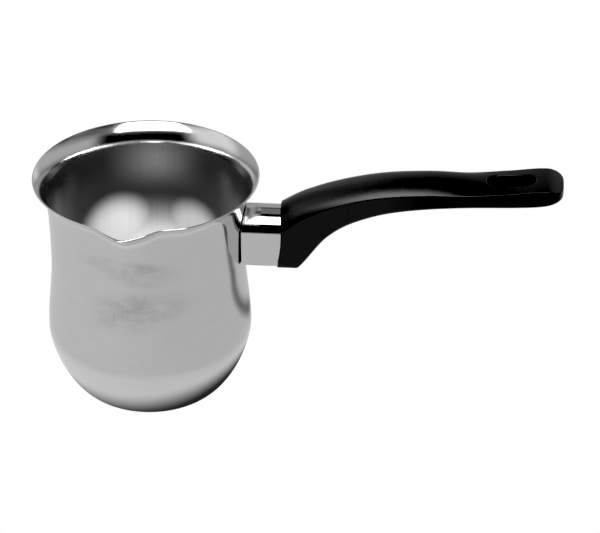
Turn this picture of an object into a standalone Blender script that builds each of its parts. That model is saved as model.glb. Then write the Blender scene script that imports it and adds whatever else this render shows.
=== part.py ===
"""Small stainless coffee pot with a pouring spout and a moulded handle held by one screw.

Frame: the origin is the centre of the base's resting face, +Z runs up the pot's axis, +X runs
out along the handle and the spout points along -Y. Lengths are in metres.
"""

from math import asin, atan2, cos, pi, radians, sin, sqrt

import bmesh
import bpy
from mathutils import Matrix, Vector

GAP = 0.0003                # clearance between pieces that touch on the real object
ROUND_STEPS = 72            # facets around the pot
SMALL_STEPS = 24            # facets around screws, washers and holes
MERGE = 0.00001             # merge distance for modifiers
OVERSHOOT = 0.001           # how far a cutter runs past the faces that it cuts through
SHARP_ANGLE = radians(30)   # edges sharper than this are drawn as edges

# Pot: one drawn sheet-steel body. Radii and heights are those of its outer face.
SHEET = 0.0007
RIM_HEIGHT = 0.105
NECK_RADIUS = 0.0433
NECK_HEIGHT = 0.0671
BELLY_RADIUS = 0.0458
BELLY_HEIGHT = 0.0307
BOWL_DEPTH = 0.031          # height of the bowl's curve, slightly cut off by the flat base
BOWL_CENTRE = 0.0288        # distance of the curve's centre from the pot's axis
BOWL_POWER = 1.52           # 2 makes the bowl's curve an ellipse, less makes it more slanted
FLARE_OPENING = 0.0020      # gentle widening from neck to rim
FLARE_OPENING_POWER = 3
LIP_FLARE = 0.0047          # extra widening of the turned-out lip
LIP_POWER = 9

# Spout: the flare pulled outwards and down in a narrow V
SPOUT_TURN = radians(5)     # past a quarter turn from the handle
SPOUT_LEFT = radians(15)    # half-angle of the flank away from the handle
SPOUT_RIGHT = radians(17)
SPOUT_ROUNDING = radians(2)
SPOUT_REACH = 0.0052
SPOUT_DROP = 0.0016
SPOUT_SHARPNESS = 1.35
SPOUT_FADE = 5
DENT_DEPTH = 0.0011         # flattening of the rim beside the spout, on the handle's side
DENT_ANGLE = radians(22.5)
DENT_HALF_WIDTH = radians(11)

# Joint between ferrule and handle: a shallow cylinder about an axis along Y, crossed by the screw
SCREW_HEIGHT = 0.0758
JOINT_RADIUS = 0.064
JOINT_CENTRE_X = -0.00325
JOINT_CENTRE_Z = 0.0833
JOINT_X = JOINT_CENTRE_X + sqrt(JOINT_RADIUS ** 2 - (SCREW_HEIGHT - JOINT_CENTRE_Z) ** 2)

# Ferrule: a D-shaped sheet sleeve, with flat sides under a round arch
FERRULE_SHEET = 0.0008
FERRULE_START = 0.0428      # the straight inner end, where the wall curves away from the sleeve
FERRULE_HALF_WIDTH = 0.01035
FERRULE_BOTTOM = 0.0673
FERRULE_SIDE_TOP = 0.0839
FERRULE_ARCH = 0.0087       # height of the arch above the sides
FERRULE_ARCH_RISE = 0.0130  # vertical half-axis of the ellipse that the arch is part of
FERRULE_CORNER = 0.0015
FERRULE_TRIM = 0.006        # length of the sleeve's blank that the joint face cuts away

# Handle: moulded plastic. Its lines are (distance from the pot's axis, height).
HANDLE_STEP = 0.0005        # how far the handle stands proud of the ferrule
HANDLE_TIP_X = 0.1835
HANDLE_TIP_WIDTH = 0.0108   # half-width where the round end begins
TIP_SQUARENESS = 3.2        # 2 closes the round end in an ellipse, more makes it squarer
LEAN_END_X = 0.074          # beyond this the handle's sections stand upright
HANDLE_ROUND_LENGTH = 0.0080
HANDLE_CORNER = 0.0018
ARCH_BLEND = 0.008          # length over which the top leaves the shape of the ferrule's arch
SPIGOT_LENGTH = 0.003       # length of the plug that locates the handle in the ferrule
SPIGOT_GAP = 0.0004         # clearance of the plug all round
HEEL_END = 0.0680
CREASE_LINE = [
    (0.060, 0.0848), (0.072, 0.0936), (0.086, 0.1001), (0.104, 0.1048),
    (0.125, 0.1069), (0.142, 0.1074), (0.160, 0.1093), (0.176, 0.1111), (HANDLE_TIP_X, 0.1094),
]
ARCH_LINE = [
    (0.060, 0.0093), (0.072, 0.0071), (0.086, 0.0056), (0.104, 0.0049), (0.125, 0.0045),
    (0.139, 0.0035), (0.152, 0.0015), (0.166, 0.0006), (HANDLE_TIP_X, 0.0005),
]
UNDERSIDE_LINE = [
    (HEEL_END, 0.0668), (0.078, 0.0813), (0.085, 0.0878), (0.093, 0.0924),
    (0.105, 0.0968), (0.120, 0.0997), (0.140, 0.1017), (0.166, 0.1030),
    (0.176, 0.1042), (HANDLE_TIP_X, 0.1068),
]
HOLE_X = 0.1607             # centre of the hanging hole
HOLE_LENGTH = 0.021
HOLE_WIDTH = 0.0098

# Fastening, along the screw's axis
SCREW_RADIUS = 0.002
SCREW_LENGTH = 0.0185
SCREW_CHAMFER = 0.0007
SCREW_HEAD_RADIUS = 0.0039
SCREW_HEAD_HEIGHT = 0.0026
SCREW_HEAD_EDGE = 0.0010    # height of the head's straight edge, below its dome
RECESS_LENGTH = 0.0042
RECESS_WIDTH = 0.0009
RECESS_DEPTH = 0.0014
COUNTERBORE_X = 0.065       # floor of the counterbore in the handle's heel
COUNTERBORE_END = 0.090     # in the open air below the handle
COUNTERBORE_RADIUS = 0.0048
WASHER_RADIUS = 0.0044
WASHER_THICKNESS = 0.0008
LOCK_WASHER_RADIUS = 0.0037
LOCK_WASHER_THICKNESS = 0.0010
LOCK_WASHER_SPLIT = 0.0008
BORE_RADIUS = SCREW_RADIUS + GAP
NUT_WIDTH = 0.007
NUT_THICKNESS = 0.0032
NUT_BEVEL = 0.0003
BRACKET_SHEET = 0.0012
BRACKET_FRONT_X = 0.0546
BRACKET_HEIGHT = 0.012
BRACKET_ARM_Y = 0.0055
BRACKET_FLANGE_Y = 0.0088

parts = None                # collection of the object's pieces
cutters = None              # collection of the shapes that cut them


# ---------------------------------------------------------------- scene and helpers

def clear_scene():
    """Remove every object of the scene."""
    for obj in list(bpy.data.objects):
        bpy.data.objects.remove(obj, do_unlink=True)


def make_collection(name):
    """A new collection, linked to the scene."""
    collection = bpy.data.collections.new(name)
    bpy.context.scene.collection.children.link(collection)
    return collection


def make_material(name, colour, roughness, metallic):
    """A plain Principled material."""
    material = bpy.data.materials.new(name)
    material.use_nodes = True
    shader = material.node_tree.nodes["Principled BSDF"]
    shader.inputs["Base Color"].default_value = (*colour, 1.0)
    shader.inputs["Roughness"].default_value = roughness
    shader.inputs["Metallic"].default_value = metallic
    return material


def add_part(name, mesh, colour, roughness, metallic):
    """A piece of the object with its own material, shaded smooth between sharp edges."""
    obj = bpy.data.objects.new(name, mesh)
    parts.objects.link(obj)
    mesh.materials.append(make_material(name, colour, roughness, metallic))
    mesh.shade_smooth()
    mesh.set_sharp_from_angle(angle=SHARP_ANGLE)
    return obj


def add_cutter(name, mesh):
    """A shape that only cuts pieces: drawn as wire and never rendered."""
    obj = bpy.data.objects.new(name, mesh)
    cutters.objects.link(obj)
    obj.hide_render = True
    obj.display_type = "WIRE"
    return obj


def cut(obj, cutter, operation="DIFFERENCE"):
    """Subtract the cutter from the piece, or keep only what is inside it."""
    boolean = obj.modifiers.new("Cut " + cutter.name, "BOOLEAN")
    boolean.operation = operation
    boolean.solver = "EXACT"
    boolean.object = cutter


def wire_mesh(name, points, closed):
    """A mesh of edges that join the points in order."""
    mesh = bpy.data.meshes.new(name)
    count = len(points)
    edges = [(i, (i + 1) % count) for i in range(count if closed else count - 1)]
    mesh.from_pydata(points, edges, [])
    return mesh


def turned_mesh(name, profile, closed=False, steps=SMALL_STEPS):
    """A mesh turned about Z from a (radius, height) profile that runs down its outer side."""
    points = [(radius, 0.0, height) for radius, height in profile]
    guide = bpy.data.objects.new(name, wire_mesh(name, points, closed))
    bpy.context.scene.collection.objects.link(guide)
    screw = guide.modifiers.new("Turn", "SCREW")
    screw.axis = "Z"
    screw.steps = steps
    screw.render_steps = steps
    screw.use_merge_vertices = True
    screw.merge_threshold = MERGE
    evaluated = guide.evaluated_get(bpy.context.evaluated_depsgraph_get())
    mesh = bpy.data.meshes.new_from_object(evaluated)
    bpy.data.objects.remove(guide, do_unlink=True)
    return mesh


def box_mesh(name, size_x, size_y, size_z):
    """A box centred on its origin."""
    bm = bmesh.new()
    bmesh.ops.create_cube(bm, size=1.0, matrix=Matrix.Diagonal((size_x, size_y, size_z, 1.0)))
    mesh = bpy.data.meshes.new(name)
    bm.to_mesh(mesh)
    bm.free()
    return mesh


def cylinder_mesh(name, radius, length, stretch=0.0, steps=SMALL_STEPS):
    """A cylinder along Z centred on its origin, with its two halves drawn apart along X by stretch."""
    bm = bmesh.new()
    half_step = Matrix.Rotation(pi / steps, 4, "Z")
    bmesh.ops.create_cone(bm, cap_ends=True, segments=steps, radius1=radius, radius2=radius,
                          depth=length, matrix=half_step)
    for vert in bm.verts:
        vert.co.x += stretch / 2 if vert.co.x > 0 else -stretch / 2
    mesh = bpy.data.meshes.new(name)
    bm.to_mesh(mesh)
    bm.free()
    return mesh


def loft_mesh(name, rings):
    """A closed skin over rings that have the same number of points, with its two ends capped."""
    bm = bmesh.new()
    rows = [[bm.verts.new(point) for point in ring] for ring in rings]
    count = len(rows[0])
    for row, next_row in zip(rows, rows[1:]):
        for i in range(count):
            j = (i + 1) % count
            bm.faces.new((row[i], row[j], next_row[j], next_row[i]))
    bm.faces.new(list(reversed(rows[0])))
    bm.faces.new(rows[-1])
    bmesh.ops.recalc_face_normals(bm, faces=bm.faces)
    mesh = bpy.data.meshes.new(name)
    bm.to_mesh(mesh)
    bm.free()
    return mesh


def strip_mesh(name, points, closed, sweep):
    """An open sheet: the line through the points, swept along a vector."""
    bm = bmesh.new()
    first = [bm.verts.new(point) for point in points]
    last = [bm.verts.new(point + sweep) for point in points]
    count = len(points)
    for i in range(count if closed else count - 1):
        j = (i + 1) % count
        bm.faces.new((first[i], first[j], last[j], last[i]))
    bmesh.ops.recalc_face_normals(bm, faces=bm.faces)
    mesh = bpy.data.meshes.new(name)
    bm.to_mesh(mesh)
    bm.free()
    return mesh


def height_along(line, x):
    """Height at x of the smooth curve through the line's (x, height) points."""
    slopes = []
    for i in range(len(line)):
        before = line[max(i - 1, 0)]
        after = line[min(i + 1, len(line) - 1)]
        slopes.append((after[1] - before[1]) / (after[0] - before[0]))
    x = min(max(x, line[0][0]), line[-1][0])
    i = max(k for k in range(len(line) - 1) if line[k][0] <= x)
    (x0, z0), (x1, z1) = line[i], line[i + 1]
    span = x1 - x0
    t = (x - x0) / span
    return (z0 * (1 + 2 * t) * (1 - t) ** 2 + z1 * t * t * (3 - 2 * t)
            + span * t * (1 - t) * (slopes[i] * (1 - t) - slopes[i + 1] * t))


def joint_x(z):
    """The x of the joint face at height z."""
    return JOINT_CENTRE_X + sqrt(JOINT_RADIUS ** 2 - (z - JOINT_CENTRE_Z) ** 2)


def place_on_screw_axis(obj, x):
    """Turn the piece's Z axis to +X and put its origin on the screw's axis at x."""
    obj.rotation_euler = (0.0, pi / 2, 0.0)
    obj.location = (x, 0.0, SCREW_HEIGHT)


# ---------------------------------------------------------------- pot body

def flare_share(z):
    """0 at the neck, 1 at the rim."""
    return max(0.0, (z - NECK_HEIGHT) / (RIM_HEIGHT - NECK_HEIGHT))


def wall_radius(z):
    """Outer radius of the pot at height z, away from the spout."""
    if z < BELLY_HEIGHT:
        fall = (BELLY_HEIGHT - z) / BOWL_DEPTH
        reach = (1 - fall ** BOWL_POWER) ** (1 / BOWL_POWER)
        return BOWL_CENTRE + (BELLY_RADIUS - BOWL_CENTRE) * reach
    if z < NECK_HEIGHT:
        share = (z - BELLY_HEIGHT) / (NECK_HEIGHT - BELLY_HEIGHT)
        return BELLY_RADIUS + (NECK_RADIUS - BELLY_RADIUS) * share * share * (3 - 2 * share)
    share = flare_share(z)
    return NECK_RADIUS + FLARE_OPENING * share ** FLARE_OPENING_POWER + LIP_FLARE * share ** LIP_POWER


def wall_heights(bowl_rows=7, waist_rows=4, flare_rows=8):
    """Heights of the pot's rows from rim to base, closest where the wall bends most."""
    crowding = 1.6
    flare = [1 - (i / flare_rows) ** crowding for i in range(flare_rows)]
    waist = [1 - i / waist_rows for i in range(waist_rows)]
    base_angle = asin(BELLY_HEIGHT / BOWL_DEPTH)
    bowl = [base_angle * i / bowl_rows for i in range(bowl_rows)]
    heights = [NECK_HEIGHT + (RIM_HEIGHT - NECK_HEIGHT) * share for share in flare]
    heights += [BELLY_HEIGHT + (NECK_HEIGHT - BELLY_HEIGHT) * share for share in waist]
    heights += [BELLY_HEIGHT - BOWL_DEPTH * sin(angle) for angle in bowl]
    return heights + [0.0]


def spout_share(angle):
    """1 in the middle of the spout and 0 outside it, with nearly straight flanks."""
    half_angle = SPOUT_LEFT if angle < 0 else SPOUT_RIGHT
    rounded = sqrt(angle * angle + SPOUT_ROUNDING * SPOUT_ROUNDING) - SPOUT_ROUNDING
    return max(0.0, 1 - rounded / half_angle) ** SPOUT_SHARPNESS


def dent_share(angle):
    """1 in the middle of the flattened rim beside the spout and 0 outside it."""
    offset = (angle - DENT_ANGLE) / DENT_HALF_WIDTH
    return max(0.0, 1 - offset * offset) ** 2


def pull_spout(mesh):
    """Pull the flare's front outwards and down into the spout, and flatten the rim beside it."""
    for vert in mesh.vertices:
        radius = vert.co.xy.length
        if radius == 0.0:
            continue
        angle = atan2(vert.co.x, -vert.co.y) + SPOUT_TURN
        fade = flare_share(vert.co.z) ** SPOUT_FADE
        pull = spout_share(angle) * fade
        reach = SPOUT_REACH * pull - DENT_DEPTH * dent_share(angle) * fade
        vert.co.xy *= 1 + reach / radius
        vert.co.z -= SPOUT_DROP * pull


def pot_body():
    """The drawn steel cup: bowl, waist, flared rim and spout in one sheet."""
    profile = [(wall_radius(z), z) for z in wall_heights()]
    mesh = turned_mesh("pot_body", profile + [(0.0, 0.0)], steps=ROUND_STEPS)
    pull_spout(mesh)
    obj = add_part("pot_body", mesh, (0.62, 0.62, 0.63), 0.28, 1.0)
    solidify = obj.modifiers.new("Sheet", "SOLIDIFY")
    solidify.thickness = SHEET
    solidify.offset = -1.0
    solidify.use_even_offset = True
    return obj


def wall_clearance():
    """A cutter that is the pot's outer shape grown by the clearance."""
    top = RIM_HEIGHT + GAP
    profile = [(0.0, top)] + [(wall_radius(z) + GAP, z) for z in wall_heights()] + [(0.0, 0.0)]
    return add_cutter("wall_clearance", turned_mesh("wall_clearance", profile, steps=ROUND_STEPS))


# ---------------------------------------------------------------- ferrule and bracket

def circle_radius(half_width, arch):
    """Radius of the circle through both ends and the top of an arch."""
    return (half_width * half_width + arch * arch) / (2 * arch)


def d_outline(half_width, bottom, side_top, arch, rise, corner):
    """(y, z) points of a D lying on its flat: round arch, flat sides, rounded lower corners.

    The arch is part of an ellipse, and rise is the ellipse's vertical half-axis."""
    arch_steps = 10
    side_steps = 3
    corner_steps = 3
    centre = side_top + arch - rise
    edge = asin((side_top - centre) / rise)
    spread = half_width / cos(edge)
    points = []
    for i in range(arch_steps + 1):
        angle = edge + (pi - 2 * edge) * i / arch_steps
        points.append((spread * cos(angle), centre + rise * sin(angle)))
    corner_top = bottom + corner
    side = []
    for i in range(1, side_steps):
        side.append((half_width, side_top + (corner_top - side_top) * i / side_steps))
    for i in range(corner_steps + 1):
        angle = pi / 2 * i / corner_steps
        side.append((half_width - corner * (1 - cos(angle)), corner_top - corner * sin(angle)))
    points += [(-y, z) for y, z in side]
    points += reversed(side)
    return points


def ferrule():
    """The mirror-polished sleeve between the pot's wall and the handle."""
    outline = d_outline(FERRULE_HALF_WIDTH, FERRULE_BOTTOM, FERRULE_SIDE_TOP, FERRULE_ARCH,
                        FERRULE_ARCH_RISE, FERRULE_CORNER)
    points = [Vector((FERRULE_START, y, z)) for y, z in outline]
    length = Vector((JOINT_X + FERRULE_TRIM - FERRULE_START, 0.0, 0.0))
    mesh = strip_mesh("ferrule", points, True, length)
    obj = add_part("ferrule", mesh, (0.75, 0.75, 0.76), 0.06, 1.0)
    solidify = obj.modifiers.new("Sheet", "SOLIDIFY")
    solidify.thickness = FERRULE_SHEET
    solidify.offset = -1.0
    cut(obj, wall_clearance())
    cut(obj, joint_cylinder(), operation="INTERSECT")
    return obj


def joint_cylinder():
    """Everything inside the joint face, less the clearance."""
    mesh = cylinder_mesh("joint_cylinder", JOINT_RADIUS - GAP, JOINT_RADIUS, steps=2 * ROUND_STEPS)
    cylinder = add_cutter("joint_cylinder", mesh)
    cylinder.rotation_euler = (pi / 2, 0.0, 0.0)
    cylinder.location = (JOINT_CENTRE_X, 0.0, JOINT_CENTRE_Z)
    return cylinder


def screw_clearance(name, radius, x_start, x_end):
    """A cutter along the screw's axis between two distances from the pot's axis."""
    cutter = add_cutter(name, cylinder_mesh(name, radius, x_end - x_start))
    place_on_screw_axis(cutter, (x_start + x_end) / 2)
    return cutter


def handle_bracket():
    """The bent strip welded to the pot's wall, which carries the nut."""
    radius = wall_radius(SCREW_HEIGHT + BRACKET_HEIGHT / 2) + GAP + BRACKET_SHEET / 2
    flange_steps = 3
    half = [(BRACKET_FRONT_X, BRACKET_ARM_Y)]
    for i in range(flange_steps + 1):
        y = BRACKET_ARM_Y + (BRACKET_FLANGE_Y - BRACKET_ARM_Y) * i / flange_steps
        half.append((sqrt(radius * radius - y * y), y))
    outline = [(x, -y) for x, y in reversed(half)] + half
    points = [Vector((x, y, SCREW_HEIGHT - BRACKET_HEIGHT / 2)) for x, y in outline]
    mesh = strip_mesh("handle_bracket", points, False, Vector((0.0, 0.0, BRACKET_HEIGHT)))
    obj = add_part("handle_bracket", mesh, (0.55, 0.55, 0.56), 0.35, 1.0)
    solidify = obj.modifiers.new("Sheet", "SOLIDIFY")
    solidify.thickness = BRACKET_SHEET
    solidify.offset = 0.0
    solidify.use_even_offset = True
    reach = BRACKET_SHEET / 2 + OVERSHOOT
    cut(obj, screw_clearance("bracket_bore", BORE_RADIUS, BRACKET_FRONT_X - reach,
                             BRACKET_FRONT_X + reach))
    return obj


# ---------------------------------------------------------------- handle

def handle_half_width(x):
    """Half of the handle's width at x, closing in a rounded end at the tip."""
    start = FERRULE_HALF_WIDTH + HANDLE_STEP
    round_start = HANDLE_TIP_X - HANDLE_ROUND_LENGTH
    share = (x - JOINT_X) / (round_start - JOINT_X)
    width = start + (HANDLE_TIP_WIDTH - start) * min(share, 1.0)
    if x > round_start:
        along = (x - round_start) / HANDLE_ROUND_LENGTH
        width *= (1 - along ** TIP_SQUARENESS) ** (1 / TIP_SQUARENESS)
    return width


def handle_ring(x):
    """Points of the handle's section at x. Near the joint the section follows the joint face,
    and its top follows the ferrule's arch."""
    half_width = handle_half_width(x)
    tip_share = min(1.0, half_width / HANDLE_TIP_WIDTH)
    crease = height_along(CREASE_LINE, x)
    bottom = height_along(UNDERSIDE_LINE, x)
    arch = height_along(ARCH_LINE, x) * tip_share
    circle = circle_radius(half_width, arch)
    blend = max(0.0, 1 - (x - JOINT_X) / ARCH_BLEND)
    rise = circle + (FERRULE_ARCH_RISE + HANDLE_STEP - circle) * blend
    lean = max(0.0, (LEAN_END_X - x) / (LEAN_END_X - JOINT_X))
    outline = d_outline(half_width, bottom, crease, arch, rise, HANDLE_CORNER * tip_share)
    return [Vector((x + lean * (joint_x(z) - JOINT_X), y, z)) for y, z in outline]


def handle_stations():
    """Distances of the handle's sections from the pot's axis, closest at the heel and the tip."""
    heel_steps = 3
    grip_steps = 18
    tip_steps = 6
    round_start = HANDLE_TIP_X - HANDLE_ROUND_LENGTH
    heel = [JOINT_X + (HEEL_END - JOINT_X) * i / heel_steps for i in range(heel_steps)]
    grip = [HEEL_END + (round_start - HEEL_END) * i / grip_steps for i in range(grip_steps)]
    last_angle = radians(86)
    angles = [last_angle * i / tip_steps for i in range(tip_steps + 1)]
    tip = [round_start + HANDLE_ROUND_LENGTH * sin(angle) for angle in angles]
    return heel + grip + tip


def spigot_rings():
    """The plug that fits in the ferrule's end: a flat end and a root on the joint face."""
    inset = FERRULE_SHEET + SPIGOT_GAP
    outline = d_outline(FERRULE_HALF_WIDTH - inset, FERRULE_BOTTOM + inset, FERRULE_SIDE_TOP,
                        FERRULE_ARCH - inset, FERRULE_ARCH_RISE - inset, FERRULE_CORNER)
    end = [Vector((JOINT_X - SPIGOT_LENGTH, y, z)) for y, z in outline]
    root = [Vector((joint_x(z), y, z)) for y, z in outline]
    return [end, root]


def handle():
    """The moulded handle with its hanging hole and the counterbored hole for the screw."""
    rings = spigot_rings() + [handle_ring(x) for x in handle_stations()]
    obj = add_part("handle", loft_mesh("handle", rings), (0.012, 0.012, 0.013), 0.32, 0.0)
    hole = add_cutter("hanging_hole", cylinder_mesh("hanging_hole", HOLE_WIDTH / 2, HOLE_LENGTH,
                                                    stretch=HOLE_LENGTH - HOLE_WIDTH))
    hole.location = (HOLE_X, 0.0, height_along(CREASE_LINE, HOLE_X))
    cut(obj, hole)
    cut(obj, screw_clearance("handle_bore", BORE_RADIUS, JOINT_X - SPIGOT_LENGTH - OVERSHOOT,
                             COUNTERBORE_X + OVERSHOOT))
    cut(obj, screw_clearance("counterbore", COUNTERBORE_RADIUS, COUNTERBORE_X, COUNTERBORE_END))
    return obj


# ---------------------------------------------------------------- fastening

def ring_profile(outer, inner, thickness):
    """A washer's section, down its outer side and back up its inner side."""
    return [(outer, thickness), (outer, 0.0), (inner, 0.0), (inner, thickness)]


def flat_washer():
    """Spreads the screw's load on the plastic at the floor of the counterbore."""
    profile = ring_profile(WASHER_RADIUS, BORE_RADIUS, WASHER_THICKNESS)
    mesh = turned_mesh("flat_washer", profile, closed=True)
    obj = add_part("flat_washer", mesh, (0.6, 0.6, 0.62), 0.3, 1.0)
    place_on_screw_axis(obj, COUNTERBORE_X + GAP)
    return obj


def lock_washer():
    """A split ring that keeps the screw from working loose."""
    profile = ring_profile(LOCK_WASHER_RADIUS, BORE_RADIUS, LOCK_WASHER_THICKNESS)
    mesh = turned_mesh("lock_washer", profile, closed=True)
    obj = add_part("lock_washer", mesh, (0.45, 0.45, 0.47), 0.35, 1.0)
    x = COUNTERBORE_X + WASHER_THICKNESS + 2 * GAP
    place_on_screw_axis(obj, x)
    split = add_cutter("lock_washer_split", box_mesh("lock_washer_split", NUT_WIDTH,
                                                     LOCK_WASHER_SPLIT, NUT_WIDTH))
    split.location = (x, 0.0, SCREW_HEIGHT + NUT_WIDTH / 2)
    cut(obj, split)
    return obj


def handle_screw():
    """A pan-head machine screw with a cross recess."""
    dome_steps = 4
    dome = []
    for i in range(1, dome_steps + 1):
        angle = pi / 2 * i / dome_steps
        height = SCREW_HEAD_EDGE + (SCREW_HEAD_HEIGHT - SCREW_HEAD_EDGE) * cos(angle)
        dome.append((SCREW_HEAD_RADIUS * sin(angle), height))
    shank = [(SCREW_RADIUS, 0.0), (SCREW_RADIUS, SCREW_CHAMFER - SCREW_LENGTH)]
    end = [(SCREW_RADIUS - SCREW_CHAMFER, -SCREW_LENGTH), (0.0, -SCREW_LENGTH)]
    profile = [(0.0, SCREW_HEAD_HEIGHT)] + dome + [(SCREW_HEAD_RADIUS, 0.0)] + shank + end
    mesh = turned_mesh("handle_screw", profile)
    obj = add_part("handle_screw", mesh, (0.6, 0.6, 0.62), 0.25, 1.0)
    x = COUNTERBORE_X + WASHER_THICKNESS + LOCK_WASHER_THICKNESS + 3 * GAP
    place_on_screw_axis(obj, x)
    for name, size_y, size_z in (("recess_upright", RECESS_WIDTH, RECESS_LENGTH),
                                 ("recess_level", RECESS_LENGTH, RECESS_WIDTH)):
        slot = add_cutter(name, box_mesh(name, 2 * RECESS_DEPTH, size_y, size_z))
        slot.location = (x + SCREW_HEAD_HEIGHT, 0.0, SCREW_HEIGHT)
        cut(obj, slot)
    return obj


def bracket_nut():
    """A square nut held behind the bracket's front face."""
    mesh = box_mesh("bracket_nut", NUT_THICKNESS, NUT_WIDTH, NUT_WIDTH)
    obj = add_part("bracket_nut", mesh, (0.5, 0.5, 0.52), 0.4, 1.0)
    x = BRACKET_FRONT_X - BRACKET_SHEET / 2 - GAP - NUT_THICKNESS / 2
    obj.location = (x, 0.0, SCREW_HEIGHT)
    bevel = obj.modifiers.new("Edges", "BEVEL")
    bevel.width = NUT_BEVEL
    bevel.segments = 1
    cut(obj, screw_clearance("nut_bore", BORE_RADIUS, x - NUT_THICKNESS, x + NUT_THICKNESS))
    return obj


# ---------------------------------------------------------------- assembly

clear_scene()
parts = make_collection("coffee_pot")
cutters = make_collection("cutters")
root = bpy.data.objects.new("coffee_pot_frame", None)
parts.objects.link(root)
for build in (pot_body, handle_bracket, ferrule, handle, handle_screw, flat_washer, lock_washer,
              bracket_nut):
    build().parent = root
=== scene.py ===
"""Looks of the small stainless coffee pot: fine pieces, materials, light and camera.

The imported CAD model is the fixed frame. Lengths are in metres: +Z runs up the pot's axis, +X out
along the handle, and the spout points along -Y.
"""

from math import acos, asin, cos, pi, radians, sin, sqrt

import bmesh
import bpy
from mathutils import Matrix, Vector


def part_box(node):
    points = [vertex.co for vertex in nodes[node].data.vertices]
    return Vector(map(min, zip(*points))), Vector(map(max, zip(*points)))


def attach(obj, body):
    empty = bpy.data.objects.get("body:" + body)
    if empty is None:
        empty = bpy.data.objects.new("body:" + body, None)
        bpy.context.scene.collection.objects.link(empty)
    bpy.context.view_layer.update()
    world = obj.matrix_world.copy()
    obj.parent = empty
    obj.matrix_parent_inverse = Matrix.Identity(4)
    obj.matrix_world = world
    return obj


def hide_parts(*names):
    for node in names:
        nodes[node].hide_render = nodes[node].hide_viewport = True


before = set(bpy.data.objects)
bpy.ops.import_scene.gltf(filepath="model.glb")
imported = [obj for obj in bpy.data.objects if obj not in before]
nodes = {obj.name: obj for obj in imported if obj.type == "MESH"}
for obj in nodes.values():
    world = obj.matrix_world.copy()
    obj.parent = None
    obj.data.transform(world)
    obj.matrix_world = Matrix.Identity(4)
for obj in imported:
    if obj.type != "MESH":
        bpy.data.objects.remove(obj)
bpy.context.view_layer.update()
ferrule_low, ferrule_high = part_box("ferrule")
handle_low, handle_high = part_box("handle")
screw_low, screw_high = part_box("handle_screw")

SHARP_ANGLE = 35            # degrees between two faces, above which their edge stays sharp
SLEEVE_SHARP_ANGLE = 25

# Pot: the same driving sizes as the CAD part, anchored on its boxes
RIM_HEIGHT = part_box("pot_body")[1].z
SHEET = 0.0007
NECK_RADIUS = 0.0433
NECK_HEIGHT = 0.0671
BELLY_RADIUS = 0.0458
BELLY_HEIGHT = 0.0307
BOWL_DEPTH = 0.031
BOWL_CENTRE = 0.0288
BOWL_POWER = 1.52           # 2 makes the bowl's curve an ellipse, less makes it more slanted
FLARE_OPENING = 0.0020
LIP_FLARE = 0.0047
POLISH_LINE = 0.0980        # above this height the flare is mirror-polished
ROW_CROWDING = 1.5          # more than 1 puts the flare's rows closer towards the rim
DISC_RINGS = (0.15, 0.45, 0.75, 0.93)   # rings of the flat base, as shares of its radius
OUTSIDE, INSIDE, LIP, BASE = range(4)   # places in the pot's list of materials

# Spout
SPOUT_TURN = radians(5)
SPOUT_LEFT = radians(15)    # half-angle of the flank away from the handle
SPOUT_RIGHT = radians(17)
SPOUT_ROUNDING = radians(2)
SPOUT_REACH = 0.0052
SPOUT_DROP = 0.0016
SPOUT_SHARPNESS = 1.35
SPOUT_FADE = 5
DENT_DEPTH = 0.0011         # flattening of the rim beside the spout, on the handle's side
DENT_ANGLE = radians(22.5)
DENT_HALF_WIDTH = radians(11)

# Joint face between ferrule and handle
JOINT_RADIUS = 0.064
JOINT_CENTRE_X = -0.00325
JOINT_CENTRE_Z = 0.0833
SCREW_HEIGHT = (screw_low.z + screw_high.z) / 2
GAP = 0.0003

# Ferrule
FERRULE_SHEET = 0.0008
SHEET_EDGE = 0.00012        # bevel along the sheet's edges
FERRULE_START = 0.0428
FERRULE_HALF_WIDTH = ferrule_high.y
FERRULE_BOTTOM = ferrule_low.z
FERRULE_SIDE_TOP = 0.0839
FERRULE_TOP = ferrule_high.z
FERRULE_CORNER = 0.0015
ARCH_RISE = 0.0130          # vertical half-axis of the ellipse that the arch is part of

# Handle
HANDLE_STEP = 0.0005
HANDLE_TIP_X = handle_high.x
HANDLE_TIP_HALF_WIDTH = 0.0108
LEAN_END_X = 0.074
HANDLE_ROUND_LENGTH = 0.0080
TIP_SQUARENESS = 3.2        # 2 closes the round end in an ellipse, more makes it squarer
HANDLE_CORNER = 0.0018
ARCH_BLEND = 0.008          # length over which the handle leaves the ferrule's arch
SHOULDER_ROUNDING = 0.0004  # radius that softens the crease along each side
HEEL_END = 0.0680
HEEL_ROUNDING = 0.0009      # softness of the corner where the underside leaves the heel
HEEL_SHIFT_LENGTH = 0.012   # length over which the underside makes up for the longer heel
SPIGOT_LENGTH = 0.003
CREASE_LINE = [
    (0.060, 0.0848), (0.072, 0.0936), (0.086, 0.1001), (0.104, 0.1048),
    (0.125, 0.1069), (0.142, 0.1074), (0.160, 0.1093), (0.176, 0.1111), (0.1835, 0.1094),
]
ARCH_LINE = [
    (0.060, 0.0093), (0.072, 0.0071), (0.086, 0.0056), (0.104, 0.0049), (0.125, 0.0045),
    (0.139, 0.0035), (0.152, 0.0015), (0.166, 0.0006), (0.1835, 0.0005),
]
UNDERSIDE_LINE = [
    (0.0675, 0.0668), (0.078, 0.0813), (0.085, 0.0878), (0.093, 0.0924),
    (0.105, 0.0968), (0.120, 0.0997), (0.140, 0.1017), (0.166, 0.1030),
    (0.176, 0.1042), (0.1835, 0.1068),
]
HOLE_X = 0.1607
HOLE_LENGTH = 0.021
HOLE_WIDTH = 0.0098
HOLE_FILLET = 0.0007
SCREW_BORE_RADIUS = 0.0023
COUNTERBORE_RADIUS = 0.0048
COUNTERBORE_DEPTH = 0.042


# ---------------------------------------------------------------- helpers

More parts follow.
